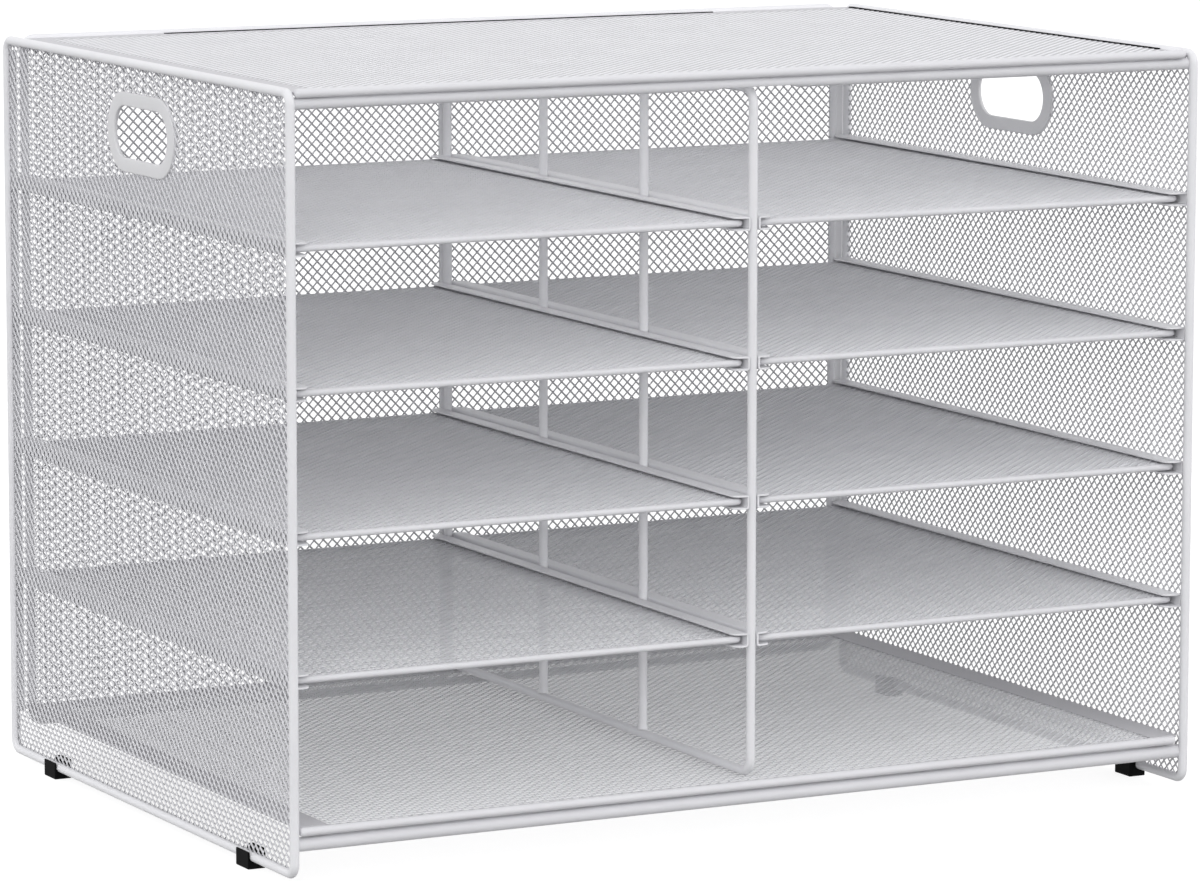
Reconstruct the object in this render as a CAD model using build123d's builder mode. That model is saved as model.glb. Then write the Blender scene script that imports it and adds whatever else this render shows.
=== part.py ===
from build123d import *
import os

os.makedirs("parts", exist_ok=True)

# ---------------------------------------------------------------- driving dimensions, mm
wire_d = 4.1            # wire of the side loops, the back loop and the divider
side_x = 223.1          # centre plane of a side loop, from the middle
side_y = 155.8          # half depth of a side loop, wire centre
side_h = 332.0          # height of a side loop, wire centre to wire centre
side_r = 5.0            # bend radius of a side loop, wire centre
z0 = 5.3                # height of the bottom wire centre above the floor
sheet_t = 0.8           # expanded sheet and rail sheet
hem_t = 1.2             # flat border strips
gap = 0.05              # welded pieces meet with this gap

handle_z = 301.3        # hand-hold centre above the bottom wire
hole_w, hole_h = 58.0, 23.0
trim_w, trim_h = 73.4, 35.6
trim_t = 1.8

top_z = 331.9           # centre of the lid sheet above the bottom wire
top_roll_z = 331.9
top_bar_z, top_bar_d = 327.4, 5.2
base_z = 20.0           # centre of the floor sheet above the bottom wire
base_roll_z = 18.5
base_bar_z, base_bar_d = 12.6, 6.2
roll_d = 4.0
roll_x0, roll_x1 = -220.7, 218.2   # ends of the rolled front edges
roll_y = -155.8
bar_y = -153.0
bar_half = 220.9
hem_w = 14.0            # width of the flat borders of lid and floor
flat_half, flat_taper = 17.5, 3.0
flat_z = 325.9          # underside of the flattened middle of the top bar

back_x = 215.0          # half width of the back loop, wire centre
back_z0, back_z1 = 12.0, 332.0     # bottom and top of the back loop, wire centre
back_r = 5.0            # bend radius of the back loop, wire centre
edge_x0, edge_x1 = 218.1, 221.3    # upright strips behind the gaps between the back loop and the side loops
edge_z0, edge_z1 = 17.0, 327.0
edge_t = 0.8
edge_y = 157.4

div_y = 150.7           # half depth of the divider loop, wire centre
div_top_z = 324.7
div_bot_z = 22.6
div_r = 7.0
div_wire_y = 49.7       # the two upright wires

rail_h = 6.2
rail_x = 222.6          # outer face of an outer rail's web, from the middle
rail_w, mid_rail_w = 9.1, 7.2
rail_round = 4.0
rail_y, mid_rail_y = 153.6, 152.6   # half length of the rails
levels = (266.1, 204.9, 143.7, 82.5)   # rail centres above the bottom wire, top tier first

rim_d = 3.0
tray_out = 220.5       # outer edge of a tray, from the middle
tray_in = 3.35          # inner edge of a tray, from the middle
tray_y = 150.5          # half depth of a tray
tray_r = 2.6            # bend radius of the rim, wire centre
tray_sheet_up = 1.0     # tray sheet above the rim centre

feet = (                # side, depth position, name
    (-1, -108.0, "left_front"),
    (-1, 108.0, "left_rear"),
    (1, -113.2, "right_front"),
    (1, 108.0, "right_rear"),
)
foot_len = 13.0
foot_out, foot_in = 3.0, 5.4     # reach outside and inside the wire centre
foot_wall_out, foot_wall_in = 2.4, 3.6


# ---------------------------------------------------------------- helpers
def keep(piece, name):
    piece.part.label = name
    export_step(piece.part, f"parts/{name}.step")


def wire_loop(plane, ax, ay, bx, by, radius, diameter):
    with BuildPart() as piece:
        with BuildLine(plane) as path:
            FilletPolyline((ax, ay), (bx, ay), (bx, by), (ax, by), radius=radius, close=True)
        with BuildSketch(Plane(origin=path.line @ 0, z_dir=path.line % 0)):
            Circle(diameter / 2)
        sweep()
    return piece


def round_bar(x0, x1, y, z, diameter, end_round):
    with BuildPart() as piece:
        with BuildSketch(Plane.YZ.offset(x0)):
            with Locations((y, z)):
                Circle(diameter / 2)
        extrude(amount=x1 - x0)
        if end_round:
            fillet(piece.edges().filter_by(GeomType.CIRCLE), end_round)
    return piece


# ---------------------------------------------------------------- side frames
for side, name in ((-1, "left"), (1, "right")):
    x = side * side_x
    loop = wire_loop(Plane.YZ.offset(x), -side_y, z0, side_y, z0 + side_h, side_r, wire_d)
    keep(loop, f"{name}_side_wire")

    with BuildPart() as sheet:
        with BuildSketch(Plane.YZ.offset(x)):
            with Locations((0, z0 + side_h / 2)):
                RectangleRounded(2 * side_y - wire_d - 2 * gap, side_h - wire_d - 2 * gap, side_r - wire_d / 2)
            with Locations((0, z0 + handle_z)):
                SlotOverall(trim_w + 2 * gap, trim_h + 2 * gap, mode=Mode.SUBTRACT)
        extrude(amount=sheet_t / 2, both=True)
    keep(sheet, f"{name}_side_mesh")

    with BuildPart() as trim:
        with BuildSketch(Plane.YZ.offset(x)):
            with Locations((0, z0 + handle_z)):
                SlotOverall(trim_w, trim_h)
                SlotOverall(hole_w, hole_h, mode=Mode.SUBTRACT)
        extrude(amount=trim_t / 2, both=True)
        fillet(trim.faces().filter_by(Axis.X).edges(), 0.5)
    keep(trim, f"{name}_handle_trim")

# ---------------------------------------------------------------- lid
slot_y0, slot_y1 = -133.5, 149.5     # side slots of the lid border
slot_x = 147.5                       # rear slot of the lid border
lid_x, lid_y = side_x - wire_d / 2 - 0.2, side_y - wire_d / 2 - 0.2
lid_front = roll_y + roll_d / 2 + gap
with BuildPart() as top_hem:
    with BuildSketch(Plane.XY.offset(z0 + top_z - hem_t / 2 - 0.2)):
        with Locations((0, (lid_front + lid_y) / 2)):
            Rectangle(2 * lid_x, lid_y - lid_front)
        with Locations((0, (lid_front + lid_y - hem_w) / 2)):
            Rectangle(2 * (lid_x - hem_w), lid_y - hem_w - lid_front, mode=Mode.SUBTRACT)
        with Locations((lid_x, (slot_y0 + slot_y1) / 2), (-lid_x, (slot_y0 + slot_y1) / 2)):
            SlotOverall(slot_y1 - slot_y0, 4.8, rotation=90, mode=Mode.SUBTRACT)
        with Locations((0, lid_y)):
            SlotOverall(2 * slot_x, 7.6, mode=Mode.SUBTRACT)
    extrude(amount=hem_t)
keep(top_hem, "top_hem")

with BuildPart() as top_mesh:
    with BuildSketch(Plane.XY.offset(z0 + top_z)):
        with Locations((0, (lid_front + lid_y - hem_w - gap) / 2)):
            Rectangle(2 * (lid_x - hem_w - gap), lid_y - hem_w - gap - lid_front)
    extrude(amount=sheet_t / 2, both=True)
keep(top_mesh, "top_mesh")

top_front_roll = round_bar(roll_x0, roll_x1, roll_y, z0 + top_roll_z, roll_d, 1.6)
keep(top_front_roll, "top_front_roll")

with BuildPart() as top_front_bar:
    with BuildSketch(Plane.YZ.offset(-bar_half)):
        with Locations((bar_y, z0 + top_bar_z)):
            Circle(top_bar_d / 2)
    extrude(amount=2 * bar_half)
    with BuildSketch(Plane.XZ.offset(-bar_y)):
        with BuildLine():
            Polyline(
                (-flat_half - flat_taper, z0 + top_bar_z - 4),
                (-flat_half - flat_taper, z0 + top_bar_z - top_bar_d / 2),
                (-flat_half, z0 + flat_z),
                (flat_half, z0 + flat_z),
                (flat_half + flat_taper, z0 + top_bar_z - top_bar_d / 2),
                (flat_half + flat_taper, z0 + top_bar_z - 4),
                close=True,
            )
        make_face()
    extrude(amount=6, both=True, mode=Mode.SUBTRACT)
keep(top_front_bar, "top_front_bar")

# ---------------------------------------------------------------- floor
base_x = side_x - wire_d / 2 - 0.5
base_back = 153.5
with BuildPart() as base_hem:
    with BuildSketch(Plane.XY.offset(z0 + base_z - hem_t / 2 - 0.2)):
        with Locations((0, (lid_front + base_back) / 2)):
            Rectangle(2 * base_x, base_back - lid_front)
        with Locations((0, (lid_front + base_back - hem_w) / 2)):
            Rectangle(2 * (base_x - hem_w), base_back - hem_w - lid_front, mode=Mode.SUBTRACT)
    extrude(amount=hem_t)
keep(base_hem, "base_hem")

with BuildPart() as base_mesh:
    with BuildSketch(Plane.XY.offset(z0 + base_z)):
        with Locations((0, (lid_front + base_back - hem_w - gap) / 2)):
            Rectangle(2 * (base_x - hem_w - gap), base_back - hem_w - gap - lid_front)
    extrude(amount=sheet_t / 2, both=True)
keep(base_mesh, "base_mesh")

base_front_roll = round_bar(roll_x0, roll_x1, roll_y, z0 + base_roll_z, roll_d, 1.6)
keep(base_front_roll, "base_front_roll")
base_front_bar = round_bar(-bar_half, bar_half, bar_y, z0 + base_bar_z, base_bar_d, 0)
keep(base_front_bar, "base_front_bar")

# ---------------------------------------------------------------- back
back_plane = Plane.XZ.offset(-side_y)
back_wire = wire_loop(back_plane, -back_x, z0 + back_z0, back_x, z0 + back_z1, back_r, wire_d)
keep(back_wire, "back_wire")

back_lo, back_hi = z0 + back_z0 + wire_d / 2 + gap, z0 + back_z1 - wire_d / 2 - gap
with BuildPart() as back_centre_wire:
    with BuildSketch(Plane.XY.offset(back_lo)):
        with Locations((0, side_y)):
            Circle(wire_d / 2)
    extrude(amount=back_hi - back_lo)
keep(back_centre_wire, "back_centre_wire")

for side, name in ((-1, "left"), (1, "right")):
    inner, outer = wire_d / 2 + gap, back_x - wire_d / 2 - gap
    with BuildPart() as back_mesh:
        with BuildSketch(back_plane):
            with Locations((side * (inner + outer) / 2, (back_lo + back_hi) / 2)):
                Rectangle(outer - inner, back_hi - back_lo)
        extrude(amount=sheet_t / 2, both=True)
        bends = back_mesh.edges().filter_by(Axis.Y).filter_by(lambda e: abs(e.center().X) > back_x / 2)
        fillet(bends, back_r - wire_d / 2 - gap)
    keep(back_mesh, f"back_{name}_mesh")

    with BuildPart() as back_edge:
        with BuildSketch(Plane.XZ.offset(-edge_y)):
            with Locations((side * (edge_x0 + edge_x1) / 2, z0 + (edge_z0 + edge_z1) / 2)):
                Rectangle(edge_x1 - edge_x0, edge_z1 - edge_z0)
        extrude(amount=edge_t / 2, both=True)
    keep(back_edge, f"back_edge_{name}")

# ---------------------------------------------------------------- centre divider
divider_loop = wire_loop(Plane.YZ, -div_y, z0 + div_bot_z, div_y, z0 + div_top_z, div_r, wire_d)
keep(divider_loop, "divider_loop")
for y, name in ((-div_wire_y, "divider_wire_front"), (div_wire_y, "divider_wire_rear")):
    with BuildPart() as upright:
        with BuildSketch(Plane.XY.offset(z0 + div_bot_z + wire_d / 2 + gap)):
            with Locations((0, y)):
                Circle(wire_d / 2)
        extrude(amount=div_top_z - div_bot_z - wire_d - 2 * gap)
    keep(upright, name)

# ---------------------------------------------------------------- rails
rail_rows = (
    ("rail_left", -rail_x, 1, rail_w, rail_y),
    ("rail_mid_left", -(wire_d / 2 + gap), -1, mid_rail_w, mid_rail_y),
    ("rail_mid_right", wire_d / 2 + gap, 1, mid_rail_w, mid_rail_y),
    ("rail_right", rail_x, -1, rail_w, rail_y),
)
for row, x, into, reach, half in rail_rows:
    for n, level in enumerate(levels, 1):
        zc = z0 + level
        h = rail_h / 2
        with BuildPart() as rail:
            with BuildSketch(Plane.XZ.offset(half)):
                with BuildLine():
                    Polyline(
                        (x, zc - h),
                        (x + into * reach, zc - h),
                        (x + into * reach, zc - h + sheet_t),
                        (x + into * sheet_t, zc - h + sheet_t),
                        (x + into * sheet_t, zc + h - sheet_t),
                        (x + into * reach, zc + h - sheet_t),
                        (x + into * reach, zc + h),
                        (x, zc + h),
                        close=True,
                    )
                make_face()
            extrude(amount=-2 * half)
            tips = rail.edges().filter_by(Axis.Z).filter_by(lambda e: abs(e.center().X - (x + into * reach)) < 0.01)
            fillet(tips, rail_round)
        keep(rail, f"{row}_{n}")

# ---------------------------------------------------------------- trays
for side, name in ((-1, "left"), (1, "right")):
    x0, x1 = sorted((side * tray_in, side * tray_out))
    r = rim_d / 2
    for n, level in enumerate(levels, 1):
        zc = z0 + level
        rim = wire_loop(Plane.XY.offset(zc), x0 + r, -tray_y + r, x1 - r, tray_y - r, tray_r, rim_d)
        keep(rim, f"tray_{name}_{n}_rim")
        inset = 2 * r - 0.12 + gap
        with BuildPart() as tray_sheet:
            with BuildSketch(Plane.XY.offset(zc + tray_sheet_up)):
                with Locations(((x0 + x1) / 2, 0)):
                    RectangleRounded(x1 - x0 - 2 * inset, 2 * tray_y - 2 * inset, tray_r - r + 0.12 - gap)
            extrude(amount=sheet_t / 2, both=True)
        keep(tray_sheet, f"tray_{name}_{n}_mesh")

# ---------------------------------------------------------------- feet
for side, y, where in feet:
    x = side * side_x
    r = wire_d / 2 + gap
    with BuildPart() as foot:
        with BuildSketch(Plane.XZ.offset(-(y - foot_len / 2))):
            with BuildLine():
                Polyline(
                    (x + side * foot_out, 0),
                    (x + side * foot_out, z0 + foot_wall_out),
                    (x, z0 + foot_wall_out),
                    (x, z0 + foot_wall_in),
                    (x - side * foot_in, z0 + foot_wall_in),
                    (x - side * foot_in, 0),
                    close=True,
                )
            make_face()
            with Locations((x, z0)):
                Circle(r, mode=Mode.SUBTRACT)
            with Locations((x, z0 + 5)):
                Rectangle(2 * r, 10, mode=Mode.SUBTRACT)
        extrude(amount=-foot_len)
        corners = foot.edges().filter_by(Axis.Z).filter_by(
            lambda e: abs(abs(e.center().X) - (side_x + foot_out)) < 0.01
            or abs(abs(e.center().X) - (side_x - foot_in)) < 0.01
        )
        fillet(corners, 0.8)
    keep(foot, f"foot_{where}")
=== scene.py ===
import math
import bpy
import bmesh
import numpy as np
from mathutils import Matrix, Vector


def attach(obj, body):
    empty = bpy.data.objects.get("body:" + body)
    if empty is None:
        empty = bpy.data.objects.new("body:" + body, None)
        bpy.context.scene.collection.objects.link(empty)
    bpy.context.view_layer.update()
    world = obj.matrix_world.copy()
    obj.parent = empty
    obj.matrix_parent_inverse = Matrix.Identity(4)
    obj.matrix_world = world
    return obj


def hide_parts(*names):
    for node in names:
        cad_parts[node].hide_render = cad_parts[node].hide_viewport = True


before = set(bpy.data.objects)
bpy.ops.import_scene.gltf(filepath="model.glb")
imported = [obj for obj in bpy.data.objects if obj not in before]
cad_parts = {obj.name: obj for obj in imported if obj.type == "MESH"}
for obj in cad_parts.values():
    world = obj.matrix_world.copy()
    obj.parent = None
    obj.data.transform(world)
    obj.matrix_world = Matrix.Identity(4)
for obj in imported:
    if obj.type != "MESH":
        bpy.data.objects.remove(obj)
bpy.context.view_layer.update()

MM = 0.001
scene = bpy.context.scene

# ------------------------------------------------------------------ sizes, mm (same frame as the solids)
Z0 = 5.3
SIDE_X, SIDE_Y, SIDE_H, SIDE_R, WIRE = 223.1, 155.8, 332.0, 5.0, 2.05
HANDLE_Z, HOLE_W, HOLE_H, TRIM_W, TRIM_H, TRIM_T = 301.3 + Z0, 58.0, 23.0, 73.4, 35.6, 1.8
TOP_Z, TOP_ROLL_Z, TOP_BAR_Z, TOP_BAR_R = 331.9 + Z0, 331.9 + Z0, 327.4 + Z0, 2.6
BASE_Z, BASE_ROLL_Z, BASE_BAR_Z, BASE_BAR_R = 20.0 + Z0, 18.5 + Z0, 12.6 + Z0, 3.1
ROLL_X0, ROLL_X1, ROLL_Y, ROLL_R = -220.7, 218.2, -155.8, 2.0
BAR_Y, BAR_HALF, FLAT_Z, FLAT_HALF, FLAT_TAPER = -153.0, 222.4, 325.9 + Z0, 17.5, 3.0
BACK_X, BACK_Z0, BACK_Z1, BACK_R = 215.0, 12.0 + Z0, 332.0 + Z0, 5.0
DIV_Y, DIV_TOP, DIV_BOT, DIV_R, DIV_WIRE_Y = 150.7, 324.7 + Z0, 22.6 + Z0, 7.0, 49.7
RAIL_H, RAIL_T, RAIL_ROUND = 6.2, 0.8, 4.0
LEVELS = (266.1 + Z0, 204.9 + Z0, 143.7 + Z0, 82.5 + Z0)
RIM_R, TRAY_OUT, TRAY_IN, TRAY_Y, TRAY_R, TRAY_UP = 1.5, 220.5, 3.35, 150.5, 2.6, 1.0
FOOT_LEN, FOOT_OUT, FOOT_IN, FOOT_WALL = 13.0, 3.0, 5.4, 3.6
PITCH, STRAND, DEPTH, TILT = 4.85, 0.90, 1.10, 0.10


# ------------------------------------------------------------------ materials
def nodes_of(name):
    mat = bpy.data.materials.new(name)
    mat.use_nodes = True
    nt = mat.node_tree
    nt.nodes.clear()
    out = nt.nodes.new("ShaderNodeOutputMaterial")
    bsdf = nt.nodes.new("ShaderNodeBsdfPrincipled")
    nt.links.new(bsdf.outputs["BSDF"], out.inputs["Surface"])
    return mat, nt, bsdf


def noise(nt, coord, scale, detail=3.0, rough=0.55):
    n = nt.nodes.new("ShaderNodeTexNoise")
    n.inputs["Scale"].default_value = scale
    n.inputs["Detail"].default_value = detail
    n.inputs["Roughness"].default_value = rough
    nt.links.new(coord, n.inputs["Vector"])
    return n


def ramp(nt, fac, stops):
    r = nt.nodes.new("ShaderNodeValToRGB")
    e = r.color_ramp.elements
    e[0].position, e[0].color = stops[0][0], stops[0][1]
    e[1].position, e[1].color = stops[-1][0], stops[-1][1]
    for pos, col in stops[1:-1]:
        m = e.new(pos)
        m.color = col
    nt.links.new(fac, r.inputs["Fac"])
    return r


def remap(nt, value, lo, hi):
    m = nt.nodes.new("ShaderNodeMapRange")
    m.inputs["To Min"].default_value = lo
    m.inputs["To Max"].default_value = hi
    nt.links.new(value, m.inputs["Value"])
    return m


def powder_coat(name, light, dark, rough, peel, bump, strand_shade=None, gloss=0.42):
    mat, nt, bsdf = nodes_of(name)
    tex = nt.nodes.new("ShaderNodeTexCoord")
    cloud = noise(nt, tex.outputs["Object"], 38.0, 4.0)
    grain = noise(nt, tex.outputs["Object"], 2600.0, 2.0, 0.6)
    mix = nt.nodes.new("ShaderNodeMath")
    mix.operation = "MULTIPLY_ADD"
    mix.inputs[1].default_value = 0.72
    nt.links.new(cloud.outputs["Fac"], mix.inputs[0])
    small = nt.nodes.new("ShaderNodeMath")
    small.operation = "MULTIPLY"
    small.inputs[1].default_value = 0.28
    nt.links.new(grain.outputs["Fac"], small.inputs[0])
    nt.links.new(small.outputs[0], mix.inputs[2])
    col = ramp(nt, mix.outputs[0], [(0.30, (*dark, 1)), (0.70, (*light, 1))])
    if strand_shade:                                   # painted shade: lighter along the strands, darker between them
        a, b, ox, oy, depth = strand_shade
        step = nt.nodes.new("ShaderNodeVectorMath")
        step.operation = "DOT_PRODUCT"
        step.inputs[1].default_value = (math.pi / a, -math.pi / b, 0)
        shift = nt.nodes.new("ShaderNodeVectorMath")
        shift.operation = "SUBTRACT"
        shift.inputs[1].default_value = (ox, oy, 0)
        nt.links.new(tex.outputs["Object"], shift.inputs[0])
        nt.links.new(shift.outputs["Vector"], step.inputs[0])
        wave = nt.nodes.new("ShaderNodeMath")
        wave.operation = "COSINE"
        nt.links.new(step.outputs["Value"], wave.inputs[0])
        tone = nt.nodes.new("ShaderNodeMath")
        tone.operation = "MULTIPLY_ADD"
        tone.inputs[1].default_value = depth
        tone.inputs[2].default_value = 1.0
        nt.links.new(wave.outputs[0], tone.inputs[0])
        mul = nt.nodes.new("ShaderNodeVectorMath")
        mul.operation = "SCALE"
        nt.links.new(col.outputs["Color"], mul.inputs[0])
        nt.links.new(tone.outputs[0], mul.inputs["Scale"])
        nt.links.new(mul.outputs["Vector"], bsdf.inputs["Base Color"])
    else:
        nt.links.new(col.outputs["Color"], bsdf.inputs["Base Color"])
    rr = remap(nt, cloud.outputs["Fac"], rough - 0.05, rough + 0.06)
    nt.links.new(rr.outputs["Result"], bsdf.inputs["Roughness"])
    orange = noise(nt, tex.outputs["Object"], peel, 2.0, 0.45)
    b = nt.nodes.new("ShaderNodeBump")
    b.inputs["Strength"].default_value = bump
    b.inputs["Distance"].default_value = 0.00012
    nt.links.new(orange.outputs["Fac"], b.inputs["Height"])
    nt.links.new(b.outputs["Normal"], bsdf.inputs["Normal"])
    bsdf.inputs["Specular IOR Level"].default_value = gloss
    return mat


def rubber(name):
    mat, nt, bsdf = nodes_of(name)
    tex = nt.nodes.new("ShaderNodeTexCoord")
    cloud = noise(nt, tex.outputs["Object"], 220.0, 4.0)
    col = ramp(nt, cloud.outputs["Fac"], [(0.30, (0.0012, 0.0012, 0.0014, 1)), (0.72, (0.0032, 0.0032, 0.0035, 1))])
    nt.links.new(col.outputs["Color"], bsdf.inputs["Base Color"])
    rr = remap(nt, cloud.outputs["Fac"], 0.62, 0.78)
    nt.links.new(rr.outputs["Result"], bsdf.inputs["Roughness"])
    fine = noise(nt, tex.outputs["Object"], 1800.0, 3.0)
    b = nt.nodes.new("ShaderNodeBump")
    b.inputs["Strength"].default_value = 0.35
    b.inputs["Distance"].default_value = 0.00015
    nt.links.new(fine.outputs["Fac"], b.inputs["Height"])
    nt.links.new(b.outputs["Normal"], bsdf.inputs["Normal"])
    bsdf.inputs["Specular IOR Level"].default_value = 0.06
    return mat


COAT = powder_coat("powder_coat_frame", (0.748, 0.748, 0.770), (0.700, 0.700, 0.722), 0.40, 900.0, 0.22)
MESH = powder_coat("powder_coat_mesh", (0.725, 0.725, 0.752), (0.670, 0.670, 0.698), 0.44, 1100.0, 0.18)
# darker copy of the frame coat for the front rolls, bars and tray rims: painted shade
SHADED_EDGE_COAT = powder_coat("powder_coat_edge_painted_shade", (0.675, 0.673, 0.698), (0.632, 0.630, 0.654), 0.42, 900.0, 0.22)
# darker copy of the mesh coat for the right side and back lattices: painted shade on the inner meshes
SHADED_MESH_COAT = powder_coat("powder_coat_mesh_painted_shade", (0.575, 0.575, 0.597), (0.536, 0.536, 0.558), 0.46, 1100.0, 0.18)
# darker, less glossy copy of the frame coat for the lid and floor borders: painted shade
SHADED_HEM_COAT = powder_coat("powder_coat_border_painted_shade", (0.580, 0.575, 0.598), (0.546, 0.541, 0.564), 0.58, 900.0, 0.22, gloss=0.05)
# darker copy of the frame coat for the handle rings: painted shade
SHADED_RING_COAT = powder_coat("powder_coat_ring_painted_shade", (0.662, 0.662, 0.678), (0.624, 0.624, 0.640), 0.44, 900.0, 0.22)
# lighter copy of the frame coat for the back edge strips: painted light
LIT_STRIP_COAT = powder_coat("powder_coat_strip_painted_light", (0.880, 0.880, 0.894), (0.845, 0.845, 0.860), 0.44, 900.0, 0.22)
RUBBER = rubber("foot_rubber")


# ------------------------------------------------------------------ mesh helpers
def make(name, verts, faces, mat, body, nodes, smooth=True):
    me = bpy.data.meshes.new(name)
    me.from_pydata([tuple(v) for v in np.asarray(verts, float) * MM], [], faces)
    me.polygons.foreach_set("use_smooth", [smooth] * len(me.polygons))
    me.update()
    return place(name, me, mat, body, nodes)


def place(name, me, mat, body, nodes):
    me.materials.append(mat)
    ob = bpy.data.objects.new(name, me)
    scene.collection.objects.link(ob)
    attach(ob, body)
    if nodes:
        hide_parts(*nodes)
    return ob


def loop_path(ax, ay, bx, by, r, n=12):
    """Rounded rectangle, counter-clockwise, in its own plane."""
    pts = []
    for cx, cy, a0 in ((bx - r, by - r, 0), (ax + r, by - r, 90), (ax + r, ay + r, 180), (bx - r, ay + r, 270)):
        for k in range(n + 1):
            a = math.radians(a0 + 90.0 * k / n)
            pts.append((cx + r * math.cos(a), cy + r * math.sin(a)))
    return pts


def tube(path, radius, normal, closed, seg=20, cap_round=0.0):
    """Round bar along a path that lies in the plane with this normal. radius: one value, or (along normal, across) per point."""
    p = np.asarray(path, float)
    n = len(p)
    nrm = np.asarray(normal, float)
    rad = np.asarray(radius, float)
    if rad.ndim == 0:
        rad = np.tile([float(rad), float(rad)], (n, 1))
    if closed:
        t = np.roll(p, -1, 0) - np.roll(p, 1, 0)
    else:
        t = np.gradient(p, axis=0)
    t /= np.linalg.norm(t, axis=1)[:, None]
    if not closed and cap_round > 0:
        head, tail, hr, tr = [], [], [], []
        for k in range(7):
            a = math.radians(15 * k)              # 0 at the tip, 90 degrees where the full section starts
            head.append(p[0] + t[0] * cap_round * (1 - math.cos(a)))
            hr.append(rad[0] - cap_round + cap_round * math.sin(a))
            tail.append(p[-1] - t[-1] * cap_round * (1 - math.cos(a)))
            tr.append(rad[-1] - cap_round + cap_round * math.sin(a))
        tail.reverse()
        tr.reverse()
        p = np.vstack([head, p[1:-1], tail])
        rad = np.vstack([hr, rad[1:-1], tr])
        t = np.vstack([np.tile(t[0], (7, 1)), t[1:-1], np.tile(t[-1], (7, 1))])
        n = len(p)
    side = np.cross(t, nrm)
    ang = np.linspace(0, 2 * math.pi, seg, endpoint=False)
    ring = (p[:, None, :] + rad[:, None, 1:2] * np.cos(ang)[None, :, None] * side[:, None, :]
            + rad[:, None, 0:1] * np.sin(ang)[None, :, None] * nrm[None, None, :])
    verts = ring.reshape(-1, 3)
    faces = []
    for i in range(n if closed else n - 1):
        j = (i + 1) % n
        for k in range(seg):
            m = (k + 1) % seg
            faces.append((i * seg + k, i * seg + m, j * seg + m, j * seg + k))
    if not closed:
        faces.append(tuple(range(seg - 1, -1, -1)))
        faces.append(tuple((n - 1) * seg + k for k in range(seg)))
    return verts, faces


def fix_normals(ob):
    bm = bmesh.new()
    bm.from_mesh(ob.data)
    bmesh.ops.recalc_face_normals(bm, faces=bm.faces)
    bm.to_mesh(ob.data)
    bm.free()


def soften(ob, width, segments=2, angle=40):
    b = ob.modifiers.new("edge_round", "BEVEL")
    b.width = width * MM
    b.segments = segments
    b.limit_method = "ANGLE"
    b.angle_limit = math.radians(angle)
    w = ob.modifiers.new("edge_shade", "WEIGHTED_NORMAL")
    w.keep_sharp = False
    return ob


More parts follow.
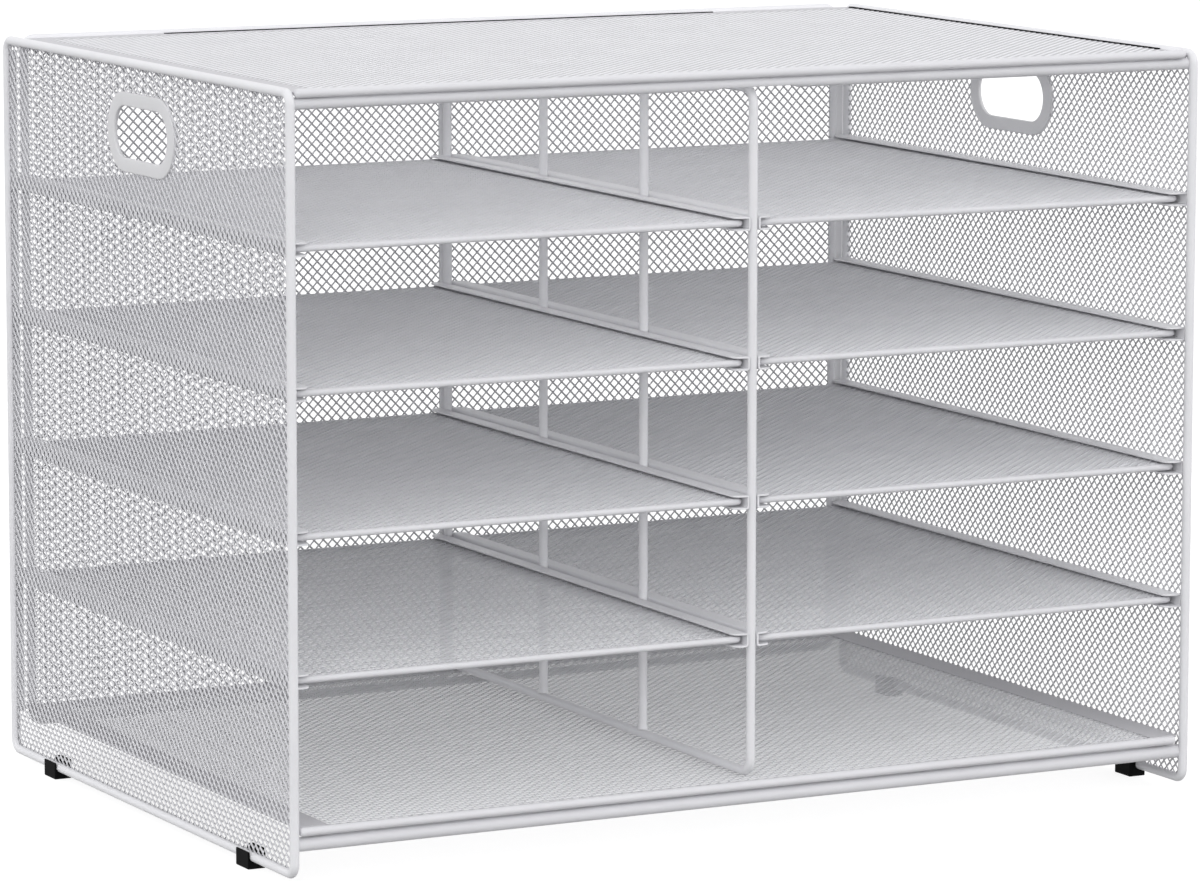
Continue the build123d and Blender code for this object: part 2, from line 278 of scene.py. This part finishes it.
# ------------------------------------------------------------------ expanded metal
def expanded(name, origin, u_dir, v_dir, size_u, size_v, mat, body, nodes, keep=None, depth=DEPTH, lean=TILT):
    """Open diamond lattice over size_u x size_v, in the plane through origin (its middle), raised towards u x v."""
    o, u, v = (np.asarray(a, float) for a in (origin, u_dir, v_dir))
    w = np.cross(u, v)
    nu = 2 * int(round(size_u / PITCH))
    nv = 2 * int(round(size_v / PITCH))
    a, b = size_u / nu, size_v / nv
    i, j = np.meshgrid(np.arange(nu + 1), np.arange(nv + 1), indexing="ij")
    is_node = (i + j) % 2 == 0
    is_hole = (~is_node) & (i > 0) & (i < nu) & (j > 0) & (j < nv)
    hi, hj = i[is_hole], j[is_hole]
    cu, cv = (hi - nu / 2) * a, (hj - nv / 2) * b
    if keep is not None:
        m = keep(cu, cv)
        hi, hj, cu, cv = hi[m], hj[m], cu[m], cv[m]
    nh = len(hi)
    used = np.zeros((nu + 1, nv + 1), bool)
    for di, dj in ((-1, 0), (1, 0), (0, -1), (0, 1)):
        used[hi + di, hj + dj] = True
    ni, nj = np.nonzero(used)
    index = -np.ones((nu + 1, nv + 1), int)
    index[ni, nj] = np.arange(len(ni))
    nn = len(ni)
    pu, pv = (ni - nu / 2) * a, (nj - nv / 2) * b
    ln = math.hypot(a, b)
    ou, ov = 0.5 * STRAND * ln / b, 0.5 * STRAND * ln / a
    half = depth / 2

    def pos(x, y, z):
        return o + np.outer(x, u) + np.outer(y, v) + np.outer(z, w)

    front = pos(pu, pv, np.full(nn, half))
    back = pos(pu, pv, np.full(nn, -half))
    zero = np.zeros(nh)
    tilt = np.full(nh, lean)
    rl = pos(cu - (a - ou), cv, zero)
    rr = pos(cu + (a - ou), cv, zero)
    rb = pos(cu, cv - (b - ov), tilt)
    rt = pos(cu, cv + (b - ov), -tilt)
    verts = np.vstack([front, back, rl, rr, rb, rt]) * MM
    L, R, B, T = (index[hi + d, hj + e] for d, e in ((-1, 0), (1, 0), (0, -1), (0, 1)))
    k = np.arange(nh)
    vl, vr, vb, vt = (2 * nn + q * nh + k for q in range(4))
    quads, is_front = [], []
    # node to node along each of the hole's four strands, seen from the front
    for n1, n2, r1, r2 in ((L, B, vl, vb), (B, R, vb, vr), (R, T, vr, vt), (T, L, vt, vl)):
        quads.append(np.stack([n1, n2, r2, r1], 1))
        is_front.append(np.ones(nh, bool))
        quads.append(np.stack([n2 + nn, n1 + nn, r1, r2], 1))
        is_front.append(np.zeros(nh, bool))
    strands = np.vstack([np.stack([n1, n2], 1) for n1, n2 in ((L, B), (B, R), (R, T), (T, L))])
    key = np.sort(strands, 1)
    code = key[:, 0] * (nn + 1) + key[:, 1]
    uniq, first, count = np.unique(code, return_index=True, return_counts=True)
    edge = strands[first[count == 1]]
    quads.append(np.stack([edge[:, 1], edge[:, 0], edge[:, 0] + nn, edge[:, 1] + nn], 1))
    is_front.append(np.ones(len(edge), bool))
    quads = np.vstack(quads)
    is_front = np.concatenate(is_front)
    nf = len(quads)
    me = bpy.data.meshes.new(name)
    me.vertices.add(len(verts))
    me.vertices.foreach_set("co", verts.ravel())
    me.loops.add(4 * nf)
    me.loops.foreach_set("vertex_index", quads.ravel().astype(np.int32))
    me.polygons.add(nf)
    me.polygons.foreach_set("loop_start", np.arange(0, 4 * nf, 4, dtype=np.int32))
    me.polygons.foreach_set("use_smooth", np.ones(nf, bool))
    rel = verts / MM - o
    uu = (rel @ u) / (size_u + 2) + 0.5
    vv = (rel @ v) / (size_v + 2) + 0.5
    uv = np.stack([uu[quads], vv[quads]], 2)
    uv[:, :, 0] = uv[:, :, 0] * 0.49 + np.where(is_front, 0.005, 0.505)[:, None]
    layer = me.uv_layers.new(name="OFBake")
    layer.data.foreach_set("uv", uv.reshape(-1))
    me.update()
    me.validate()
    return place(name, me, mat, body, nodes)


# ------------------------------------------------------------------ side frames
def stadium(w, h, n=40):
    """Points of a stadium, w wide and h high, as (across, up), counter-clockwise, evenly matched between sizes."""
    r = h / 2
    c = w / 2 - r
    pts = []
    for cx, a0 in ((c, -90), (-c, 90)):
        for k in range(n + 1):
            a = math.radians(a0 + 180.0 * k / n)
            pts.append((cx + r * math.cos(a), r * math.sin(a)))
    return np.array(pts)


def trim_ring(name, x, node):
    inner, outer = stadium(HOLE_W, HOLE_H), stadium(TRIM_W, TRIM_H)
    t, e = TRIM_T / 2, 0.6
    prof = []                                  # (share of the way from hole to rim, offset mm, height)
    for a in range(0, 91, 18):                 # rounded edge at the hole
        q = math.radians(a)
        prof.append((0.0, e - e * math.cos(q), t - e + e * math.sin(q)))
    for a in range(90, -1, -18):
        q = math.radians(a)
        prof.append((1.0, -(e - e * math.cos(q)), t - e + e * math.sin(q)))
    prof += [(s, off, -h) for s, off, h in reversed(prof)]
    n, m = len(inner), len(prof)
    verts = []
    for i in range(n):
        d = outer[i] - inner[i]
        d /= np.linalg.norm(d)
        for s, off, h in prof:
            q = inner[i] * (1 - s) + outer[i] * s + d * off
            verts.append((x + h, q[0], HANDLE_Z + q[1]))
    faces = []
    for i in range(n):
        j = (i + 1) % n
        for k in range(m):
            l = (k + 1) % m
            faces.append((i * m + k, i * m + l, j * m + l, j * m + k))
    ob = make(name, verts, faces, SHADED_RING_COAT, "frame", [node])
    fix_normals(ob)
    return ob


def in_stadium(cu, cv, w, h, grow):
    r = h / 2
    c = w / 2 - r
    dx = np.maximum(np.abs(cu) - c, 0)
    return np.hypot(dx, cv) < r + grow


for s, side in ((-1, "left"), (1, "right")):
    x = s * SIDE_X
    path = [(x, y, z) for y, z in loop_path(-SIDE_Y, Z0, SIDE_Y, Z0 + SIDE_H, SIDE_R)]
    v, f = tube(path, WIRE, (1, 0, 0), True, seg=24)
    fix_normals(make(f"{side}_side_wire_tube", v, f, COAT, "frame", [f"{side}_side_wire"]))
    hz = HANDLE_Z - (Z0 + SIDE_H / 2)
    # the right side's lattice takes the darker mesh coat, which is painted shade
    expanded(f"{side}_side_lattice", (x, 0, Z0 + SIDE_H / 2), (0, s, 0), (0, 0, 1),
             2 * SIDE_Y - 2.0, SIDE_H - 2.0, MESH if s < 0 else SHADED_MESH_COAT, "frame", [f"{side}_side_mesh"],
             keep=lambda cu, cv: ~in_stadium(cu, cv - hz, HOLE_W, HOLE_H, 2.9), depth=0.62 if s < 0 else 0.78, lean=-0.55 if s < 0 else -0.30)
    trim_ring(f"{side}_handle_ring", x, f"{side}_handle_trim")

# ------------------------------------------------------------------ lid, floor, back
LID_X, LID_Y = SIDE_X - WIRE - 0.2, SIDE_Y - WIRE - 0.2
LID_FRONT = ROLL_Y + ROLL_R + 0.05
BASE_X, BASE_BACK = SIDE_X - WIRE - 0.5, 153.5
HEM_W = 14.0


def flat_sheet(name, z, x_half, y0, y1, node, depth=DEPTH, lean=TILT):
    expanded(name, (0, (y0 + y1) / 2, z), (1, 0, 0), (0, 1, 0), 2 * x_half, y1 - y0, MESH, "frame", [node],
             depth=depth, lean=lean)


# the lid's lattice lies over the narrow border on the right and ends at the wide one on the left
lid_x0, lid_x1, lid_y0, lid_y1 = -(LID_X - HEM_W + 1.5), 218.2, LID_FRONT - 1.2, LID_Y - HEM_W + 1.5
lid_u, lid_v = lid_x1 - lid_x0, lid_y1 - lid_y0
lid_nu, lid_nv = 2 * round(lid_u / PITCH), 2 * round(lid_v / PITCH)
# the lid's coat carries painted shade between the strands
LID_MESH = powder_coat("powder_coat_lid", (0.700, 0.700, 0.722), (0.654, 0.654, 0.677), 0.44, 1100.0, 0.18, strand_shade=(
    lid_u / lid_nu * MM, lid_v / lid_nv * MM,
    ((lid_x0 + lid_x1) / 2 + (lid_nu // 2 % 2) * lid_u / lid_nu) * MM, ((lid_y0 + lid_y1) / 2 + (lid_nv // 2 % 2) * lid_v / lid_nv) * MM, 0.26), gloss=0.30)
expanded("top_lattice", ((lid_x0 + lid_x1) / 2, (lid_y0 + lid_y1) / 2, TOP_Z + 0.35), (1, 0, 0), (0, 1, 0),
         lid_u, lid_v, LID_MESH, "frame", ["top_mesh"], depth=0.60, lean=0.12)
flat_sheet("base_lattice", BASE_Z, BASE_X - HEM_W + 1.5, LID_FRONT - 1.2, BASE_BACK - HEM_W + 1.5, "base_mesh", 0.56)


def straight(name, x0, x1, y, z, r, cap, nodes):
    v, f = tube([(x0, y, z), ((x0 + x1) / 2, y, z), (x1, y, z)], r, (0, 0, 1), False, seg=28, cap_round=cap)
    ob = make(name, v, f, SHADED_EDGE_COAT, "frame", nodes)
    fix_normals(ob)
    return ob


straight("top_front_roll_tube", ROLL_X0, ROLL_X1, ROLL_Y, TOP_ROLL_Z, ROLL_R, 1.2, ["top_front_roll"])
straight("base_front_roll_tube", ROLL_X0, ROLL_X1, ROLL_Y, BASE_ROLL_Z, ROLL_R, 1.2, ["base_front_roll"])
straight("base_front_bar_tube", -BAR_HALF, BAR_HALF, BAR_Y, BASE_BAR_Z, BASE_BAR_R, 0.4, ["base_front_bar"])


def pressed_bar(name, node):
    """Round bar whose underside is pressed flat over the middle, with short slanted ends."""
    end = FLAT_HALF + FLAT_TAPER
    xs = np.concatenate([[-BAR_HALF, -60.0, -end - 6.0], np.linspace(-end, -FLAT_HALF, 4), np.linspace(-FLAT_HALF, FLAT_HALF, 9)[1:-1],
                         np.linspace(FLAT_HALF, end, 4), [end + 6.0, 60.0, BAR_HALF]])
    seg = 48
    ang = np.linspace(0, 2 * math.pi, seg, endpoint=False)
    verts, faces = [], []
    for q in xs:
        k = min(max((end - abs(q)) / FLAT_TAPER, 0.0), 1.0)
        floor_z = TOP_BAR_Z - TOP_BAR_R + k * (FLAT_Z - (TOP_BAR_Z - TOP_BAR_R))
        for a in ang:
            y = BAR_Y + (TOP_BAR_R + 0.12 * k) * math.cos(a)
            z = TOP_BAR_Z + TOP_BAR_R * math.sin(a)
            verts.append((q, y, max(z, floor_z)))
    for i in range(len(xs) - 1):
        for k in range(seg):
            m = (k + 1) % seg
            faces.append((i * seg + k, i * seg + m, (i + 1) * seg + m, (i + 1) * seg + k))
    faces.append(tuple(range(seg)))
    faces.append(tuple((len(xs) - 1) * seg + k for k in range(seg)))
    ob = make(name, verts, faces, SHADED_EDGE_COAT, "frame", [node])
    fix_normals(ob)
    ob.data.set_sharp_from_angle(angle=math.radians(32))
    return ob


pressed_bar("top_front_bar_tube", "top_front_bar")

path = [(x, SIDE_Y, z) for x, z in loop_path(-BACK_X, BACK_Z0, BACK_X, BACK_Z1, BACK_R)]
v, f = tube(path, WIRE, (0, 1, 0), True, seg=24)
fix_normals(make("back_wire_tube", v, f, COAT, "frame", ["back_wire"]))
lo, hi = BACK_Z0 + WIRE + 0.05, BACK_Z1 - WIRE - 0.05
v, f = tube([(0, SIDE_Y, z) for z in (lo, (lo + hi) / 2, hi)], WIRE, (0, 1, 0), False, seg=24)
fix_normals(make("back_centre_wire_tube", v, f, COAT, "frame", ["back_centre_wire"]))
for s, side in ((-1, "left"), (1, "right")):
    inner, outer = WIRE - 0.6, BACK_X - WIRE + 0.6
    # the back lattices take the darker mesh coat, which is painted shade
    expanded(f"back_{side}_lattice", (s * (inner + outer) / 2, SIDE_Y, (BACK_Z0 + BACK_Z1) / 2), (-1, 0, 0), (0, 0, 1),
             outer - inner, BACK_Z1 - BACK_Z0 - 2 * WIRE + 1.2, SHADED_MESH_COAT, "frame", [f"back_{side}_mesh"], lean=-0.15)

# the borders take the darker painted-shade coat, the back edge strips the lighter painted-light coat
for n, coat in (("top_hem", SHADED_HEM_COAT), ("base_hem", SHADED_HEM_COAT), ("back_edge_left", LIT_STRIP_COAT), ("back_edge_right", LIT_STRIP_COAT)):
    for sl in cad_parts[n].material_slots:
        sl.material = coat


# painted shadow: dark strips in the rubber material at the bottom of the narrow slots between the lid border and the
# wires
def shadow_strip(name, x0, x1, y0, y1, z0, z1):
    c = np.array([(x, y, z) for z in (z0, z1) for x, y in ((x0, y0), (x1, y0), (x1, y1), (x0, y1))])
    faces = [(3, 2, 1, 0), (4, 5, 6, 7), (0, 1, 5, 4), (1, 2, 6, 5), (2, 3, 7, 6), (3, 0, 4, 7)]
    return soften(make(name, c, faces, RUBBER, "frame", []), 0.12, 2)


for s, side in ((-1, "left"), (1, "right")):
    a, b = sorted((s * 219.6, s * 220.95))
    shadow_strip(f"slot_shadow_strip_{side}", a, b, -131.5, 149.0, TOP_Z - 0.75, TOP_Z + 0.88)
shadow_strip("slot_shadow_strip_rear", -145.5, 145.5, 152.3, 153.65, TOP_Z - 0.75, TOP_Z + 0.62)

# ------------------------------------------------------------------ divider
path = [(0, y, z) for y, z in loop_path(-DIV_Y, DIV_BOT, DIV_Y, DIV_TOP, DIV_R)]
v, f = tube(path, WIRE, (1, 0, 0), True, seg=24)
fix_normals(make("divider_loop_tube", v, f, COAT, "frame", ["divider_loop"]))
for y, n in ((-DIV_WIRE_Y, "divider_wire_front"), (DIV_WIRE_Y, "divider_wire_rear")):
    lo, hi = DIV_BOT + WIRE + 0.05, DIV_TOP - WIRE - 0.05
    zs = [lo, lo + 0.5, lo + 1.0, lo + 1.6, lo + 2.4, (lo + hi) / 2, hi - 2.4, hi - 1.6, hi - 1.0, hi - 0.5, hi]
    flare = [0.55, 0.42, 0.22, 0.07, 0.0, 0.0, 0.0, 0.07, 0.22, 0.42, 0.55]
    v, f = tube([(0, y, z) for z in zs], [(WIRE + q, WIRE + q) for q in flare], (1, 0, 0), False, seg=24)
    fix_normals(make(n + "_tube", v, f, COAT, "frame", [n]))


# ------------------------------------------------------------------ rails
def rail(name, x, into, reach, half, zc, node):
    y0, y1 = -half, half
    h, t = RAIL_H / 2 - RAIL_T / 2, RAIL_T
    mid = []
    steps = [0, 0.12, 0.4, 0.9, 1.6, 2.5, 4.0]
    for d in steps:
        mid.append((reach - d, h, 0, 1))
    for a in range(0, 91, 18):
        q = math.radians(a)
        mid.append((t / 2 + 0.8 - 0.8 * math.sin(q), h - 0.8 + 0.8 * math.cos(q), -math.sin(q), math.cos(q)))
    mid += [(p, -z, nx, -nz) for p, z, nx, nz in reversed(mid)]
    verts, faces = [], []
    n = len(mid)
    cols = []
    for p, z, nx, nz in mid:
        d = reach - p
        off = RAIL_ROUND - math.sqrt(max(RAIL_ROUND ** 2 - (RAIL_ROUND - d) ** 2, 0)) if d < RAIL_ROUND else 0.0
        cols.append((y0 + off, y1 - off))
    for lay in (1, -1):
        for (p, z, nx, nz), (ya, yb) in zip(mid, cols):
            q = (p + lay * nx * t / 2, z + lay * nz * t / 2)
            for y in (ya, yb):
                verts.append((x + into * q[0], y, zc + q[1]))
    m = 2 * n
    for i in range(n - 1):
        a0, a1, b0, b1 = 2 * i, 2 * i + 1, 2 * i + 2, 2 * i + 3
        faces.append((a0, a1, b1, b0))
        faces.append((m + a0, m + b0, m + b1, m + a1))
        faces.append((a0, b0, m + b0, m + a0))
        faces.append((a1, m + a1, m + b1, b1))
    faces.append((0, m, m + 1, 1))
    e = 2 * (n - 1)
    faces.append((e, e + 1, m + e + 1, m + e))
    ob = make(name, verts, faces, COAT, "frame", [node])
    fix_normals(ob)
    return soften(ob, 0.18, 2, 50)


for row, x, into, reach, half in (("rail_left", -222.6, 1, 9.1, 153.6), ("rail_mid_left", -2.1, -1, 7.2, 152.6),
                                  ("rail_mid_right", 2.1, 1, 7.2, 152.6), ("rail_right", 222.6, -1, 9.1, 153.6)):
    for n, zc in enumerate(LEVELS, 1):
        rail(f"{row}_{n}_channel", x, into, reach, half, zc, f"{row}_{n}")

# ------------------------------------------------------------------ trays
for s, side in ((-1, "left"), (1, "right")):
    x0, x1 = sorted((s * TRAY_IN, s * TRAY_OUT))
    for n, zc in enumerate(LEVELS, 1):
        body = f"tray_{side}_{n}"
        r = RIM_R
        path = [(x, y, zc) for x, y in loop_path(x0 + r, -TRAY_Y + r, x1 - r, TRAY_Y - r, TRAY_R)]
        v, f = tube(path, r, (0, 0, 1), True, seg=20)
        fix_normals(make(f"{body}_rim_tube", v, f, SHADED_EDGE_COAT, body, [f"{body}_rim"]))
        su, sv = x1 - x0 - 2 * r - 0.3, 2 * TRAY_Y - 2 * r - 0.3

        def inside(cu, cv, su=su, sv=sv):
            k = TRAY_R
            du = np.maximum(np.abs(cu) - (su / 2 - k), 0)
            dv = np.maximum(np.abs(cv) - (sv / 2 - k), 0)
            return np.hypot(du, dv) < k - 0.9
        expanded(f"{body}_lattice", ((x0 + x1) / 2, 0, zc + TRAY_UP), (1, 0, 0), (0, 1, 0), su, sv,
                 MESH, body, [f"{body}_mesh"], keep=inside, depth=0.56)


# ------------------------------------------------------------------ feet
def foot(name, side, y, node):
    x, r = side * SIDE_X, WIRE + 0.05
    prof = [(FOOT_OUT, 0.0), (FOOT_OUT, Z0 + 2.4), (r, Z0 + 2.4)]
    for k in range(0, 13):
        a = math.radians(0 - 180.0 * k / 12)
        prof.append((r * math.cos(a), Z0 + r * math.sin(a)))
    prof += [(-r, Z0 + FOOT_WALL), (-FOOT_IN, Z0 + FOOT_WALL), (-FOOT_IN, 0.0)]
    bm = bmesh.new()
    vs = [bm.verts.new(((x + side * p) * MM, (y - FOOT_LEN / 2) * MM, z * MM)) for p, z in prof]
    face = bm.faces.new(vs)
    ext = bmesh.ops.extrude_face_region(bm, geom=[face])
    bmesh.ops.translate(bm, verts=[g for g in ext["geom"] if isinstance(g, bmesh.types.BMVert)], vec=(0, FOOT_LEN * MM, 0))
    bmesh.ops.recalc_face_normals(bm, faces=bm.faces)
    me = bpy.data.meshes.new(name)
    bm.to_mesh(me)
    bm.free()
    me.polygons.foreach_set("use_smooth", [True] * len(me.polygons))
    return soften(place(name, me, RUBBER, "frame", [node]), 0.55, 3, 50)


for s, y, where in ((-1, -108.0, "left_front"), (-1, 108.0, "left_rear"), (1, -113.2, "right_front"), (1, 108.0, "right_rear")):
    foot(f"foot_{where}_clip", s, y, f"foot_{where}")

# ------------------------------------------------------------------ floor, light, camera
def floor_material():
    mat, nt, bsdf = nodes_of("studio_floor")
    bsdf.inputs["Base Color"].default_value = (0.24, 0.24, 0.24, 1)
    bsdf.inputs["Emission Color"].default_value = (1.0, 1.0, 1.0, 1)
    bsdf.inputs["Emission Strength"].default_value = 0.87
    bsdf.inputs["Roughness"].default_value = 0.9
    bsdf.inputs["Specular IOR Level"].default_value = 0.1
    return mat


me = bpy.data.meshes.new("studio_floor")
me.from_pydata([(-30, -20, 0), (30, -20, 0), (30, 40, 0), (-30, 40, 0)], [], [(0, 1, 2, 3)])
me.materials.append(floor_material())
ground = bpy.data.objects.new("studio_floor", me)
scene.collection.objects.link(ground)
ground.visible_diffuse = False                   # the floor throws no light up at the part

world = bpy.data.worlds.new("studio")
world.use_nodes = True
wt = world.node_tree                             # white tent: brightest low down in front, dimmer overhead and behind, dark below
sky = wt.nodes["Background"]
sky.inputs["Strength"].default_value = 2.50
where = wt.nodes.new("ShaderNodeTexCoord")
part = wt.nodes.new("ShaderNodeSeparateXYZ")
wt.links.new(where.outputs["Generated"], part.inputs[0])


def around(axis, stops):
    m = remap(wt, part.outputs[axis], 0.0, 1.0)
    m.inputs["From Min"].default_value = -1.0
    return ramp(wt, m.outputs["Result"], [((p + 1) / 2, (q, q, min(1.0, q * 1.006), 1)) for p, q in stops])


height = around("Z", [(-1.0, 0.10), (-0.04, 0.11), (0.04, 1.0), (0.35, 0.78), (0.70, 0.36), (1.0, 0.26)])
aside = around("X", [(-1.0, 1.0), (0.1, 1.0), (1.0, 0.92)])
both = wt.nodes.new("ShaderNodeVectorMath")
both.operation = "MULTIPLY"
wt.links.new(height.outputs["Color"], both.inputs[0])
wt.links.new(aside.outputs["Color"], both.inputs[1])
behind = around("Y", [(-0.1, 1.0), (1.0, 0.60)])
every = wt.nodes.new("ShaderNodeVectorMath")
every.operation = "MULTIPLY"
wt.links.new(both.outputs["Vector"], every.inputs[0])
wt.links.new(behind.outputs["Color"], every.inputs[1])
wt.links.new(every.outputs["Vector"], sky.inputs["Color"])
scene.world = world

sun = bpy.data.lights.new("soft_key", "SUN")
sun.energy = 0.38
sun.angle = math.radians(70)
key = bpy.data.objects.new("soft_key", sun)
scene.collection.objects.link(key)
key.rotation_euler = Vector((-0.16, -0.22, 1.0)).to_track_quat("Z", "Y").to_euler()

scene.view_settings.view_transform = "Standard"
scene.view_settings.look = "None"

AZ, EL, ROLL = math.radians(-27.5718567), math.radians(8.40763794), math.radians(-0.06637343)
back_v = Vector((math.sin(AZ) * math.cos(EL), -math.cos(AZ) * math.cos(EL), math.sin(EL)))
right_v = Vector((math.cos(AZ), math.sin(AZ), 0))
up_v = back_v.cross(right_v)
c, s = math.cos(ROLL), math.sin(ROLL)
right_v, up_v = c * right_v - s * up_v, s * right_v + c * up_v
cam_data = bpy.data.cameras.new("camera")
cam_data.sensor_fit = "HORIZONTAL"
cam_data.sensor_width = 36.0
cam_data.lens = 36.0 * 6049.4958 / 1200.0
cam_data.clip_start, cam_data.clip_end = 0.05, 200.0
cam = bpy.data.objects.new("camera", cam_data)
scene.collection.objects.link(cam)
cam.matrix_world = Matrix((
    (right_v.x, up_v.x, back_v.x, -1.26918590),
    (right_v.y, up_v.y, back_v.y, -2.43800712),
    (right_v.z, up_v.z, back_v.z, 0.55683273 + Z0 * MM),
    (0, 0, 0, 1),
))
scene.camera = cam
